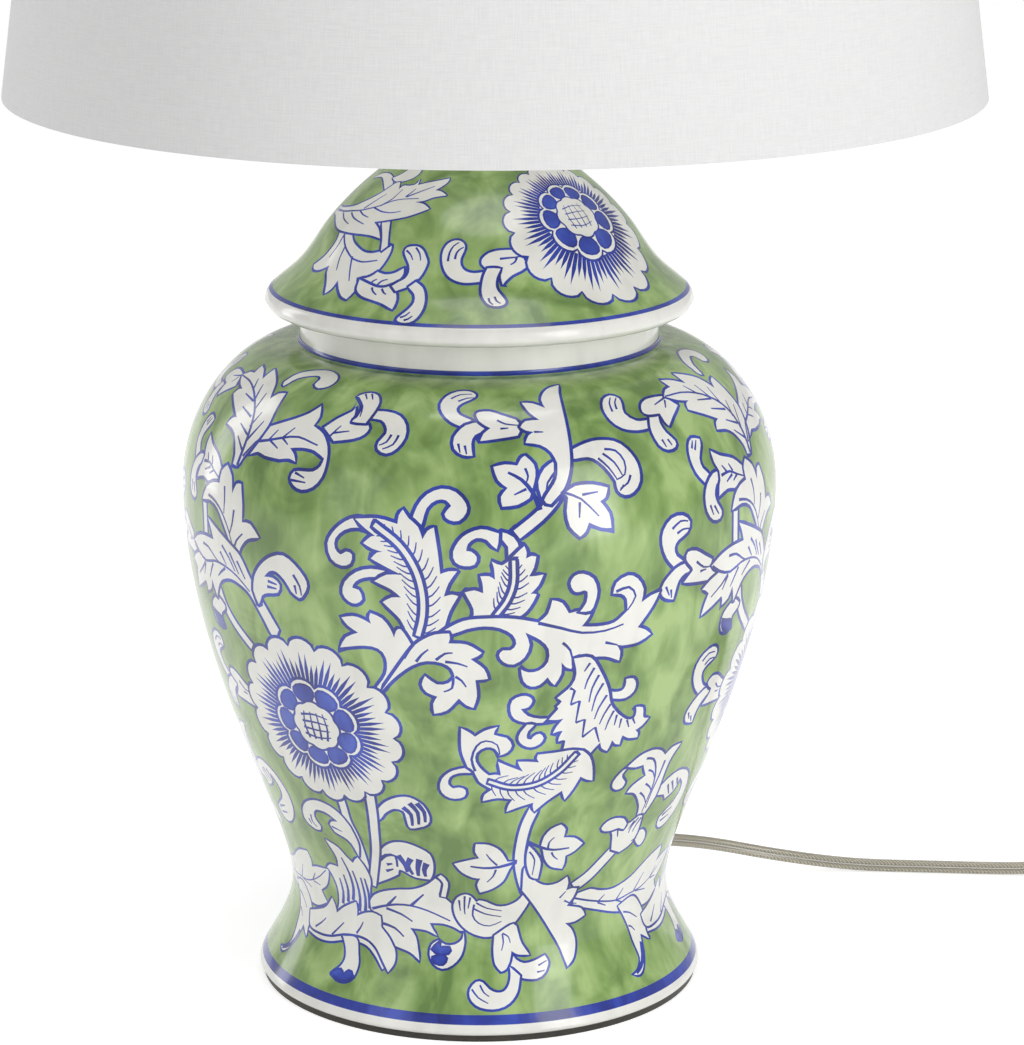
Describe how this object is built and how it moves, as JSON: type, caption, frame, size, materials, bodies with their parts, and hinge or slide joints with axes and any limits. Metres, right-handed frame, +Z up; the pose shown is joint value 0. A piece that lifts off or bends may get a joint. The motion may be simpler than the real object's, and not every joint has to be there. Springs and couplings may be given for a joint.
{
  "type": "table lamp",
  "caption": "Ginger jar table lamp: lidded ceramic jar in green glaze with blue and white floral scrollwork, a white tapered drum shade on a harp, and a wound cord with plug.",
  "frame": {"origin": "centre of the felt pad's underside, on the lamp's axis", "axes": "+Z up along the jar and rod; -Y towards the viewer, the side with the switch knob; +X to the right, where the cord runs"},
  "size_m": [0.5342, 0.3808, 0.6257],
  "materials": {
    "green_glaze": "glossy, hand-painted blue and white scrollwork",
    "shade_cloth": "fine plain weave",
    "shade_lining": "smooth matte",
    "white_wire": "white enamel",
    "nickel": "satin nickel plate",
    "bright_nickel": "polished nickel plate",
    "zinc_steel": "bright zinc plate",
    "dark_felt": "dense felt",
    "black_rubber": "matte",
    "card": "matte",
    "phenolic": "moulded, semi-gloss",
    "yellow_brass": "plain",
    "black_knob": "moulded, glossy",
    "bulb_metal": "plain",
    "bulb_white": "smooth",
    "bulb_diffuser": "frosted",
    "bulb_black": "glazed",
    "clear_cord": "clear jacket over silver strands",
    "cord_tie": "white",
    "bushing_white": "moulded"
  },
  "bodies": {
    "base": {"harp_saddle": "nickel", "jar_lid": "green_glaze", "jar_body": "green_glaze", "foot_pad": "dark_felt", "threaded_rod": "zinc_steel", "rod_nuts": "zinc_steel", "clamp_washers": "zinc_steel", "rubber_washers": "black_rubber", "vase_cap": "bright_nickel", "neck_tube": "bright_nickel", "check_ring": "bright_nickel", "lock_washer": "zinc_steel", "socket_cap": "nickel", "set_screw": "zinc_steel", "socket_shell": "nickel", "socket_liner": "card", "socket_body": "phenolic", "screw_shell": "yellow_brass", "centre_contact": "yellow_brass", "terminal_screws": "yellow_brass", "cord_lead": "clear_cord", "cord_bushing": "bushing_white", "cord_run": "clear_cord", "cord_coil": "clear_cord", "coil_ties": "cord_tie", "plug_body": "clear_cord", "plug_blades": "yellow_brass"},
    "switch": {"switch_shaft": "zinc_steel", "switch_knob": "black_knob"},
    "harp": {"harp_bow": "nickel", "harp_stud": "nickel"},
    "sleeve_left": {"harp_sleeve_left": "nickel"},
    "sleeve_right": {"harp_sleeve_right": "nickel"},
    "spider": {"spider_washer": "nickel"},
    "shade": {"shade_fabric": "shade_cloth", "shade_liner": "shade_lining", "shade_top_ring": "white_wire", "shade_bottom_ring": "white_wire", "shade_top_hem": "shade_cloth", "shade_bottom_hem": "shade_cloth", "spider_spokes": "white_wire"},
    "finial_foot": {"finial_base": "bright_nickel"},
    "finial_head": {"finial_ball": "bright_nickel"},
    "bulb_base": {"bulb_cap": "bulb_metal", "bulb_button": "bulb_metal", "bulb_insulator": "bulb_black"},
    "bulb_globe": {"bulb_housing": "bulb_white", "led_plate": "bulb_metal", "bulb_dome": "bulb_diffuser"}
  },
  "joints": [
    {"name": "switch_turn", "type": "hinge", "parent": "base", "child": "switch", "pos_m": [0, 0, 0.413], "axis": [0, -1, 0], "continuous": true},
    {"name": "harp_lift", "type": "slide", "parent": "base", "child": "harp", "axis": [0, 0, 1], "range_m": [0, 0.02]},
    {"name": "sleeve_left_lift", "type": "slide", "parent": "harp", "child": "sleeve_left", "axis": [0, 0, 1], "range_m": [0, 0.016]},
    {"name": "sleeve_right_lift", "type": "slide", "parent": "harp", "child": "sleeve_right", "axis": [0, 0, 1], "range_m": [0, 0.016]},
    {"name": "shade_lift", "type": "slide", "parent": "harp", "child": "spider", "axis": [0, 0, 1], "range_m": [0, 0.03]},
    {"name": "shade_turn", "type": "hinge", "parent": "spider", "child": "shade", "pos_m": [0.006, 0, 0.598], "axis": [0, 0, 1], "continuous": true},
    {"name": "finial_rise", "type": "slide", "parent": "spider", "child": "finial_foot", "axis": [0, 0, 1], "range_m": [0, 0.0125]},
    {"name": "finial_turn", "type": "hinge", "parent": "finial_foot", "child": "finial_head", "pos_m": [0.006, 0, 0.61], "axis": [0, 0, 1], "range_deg": [0, 4680]},
    {"name": "bulb_rise", "type": "slide", "parent": "base", "child": "bulb_base", "axis": [0, 0, 1], "range_m": [0, 0.022]},
    {"name": "bulb_turn", "type": "hinge", "parent": "bulb_base", "child": "bulb_globe", "pos_m": [0, 0, 0.49], "axis": [0, 0, 1], "range_deg": [0, 2160]}
  ],
  "couplings": [
    {"joint": "finial_rise", "follows": "finial_turn", "m_per_rad": 0.00014961},
    {"joint": "bulb_rise", "follows": "bulb_turn", "m_per_rad": 0.00057773}
  ]
}
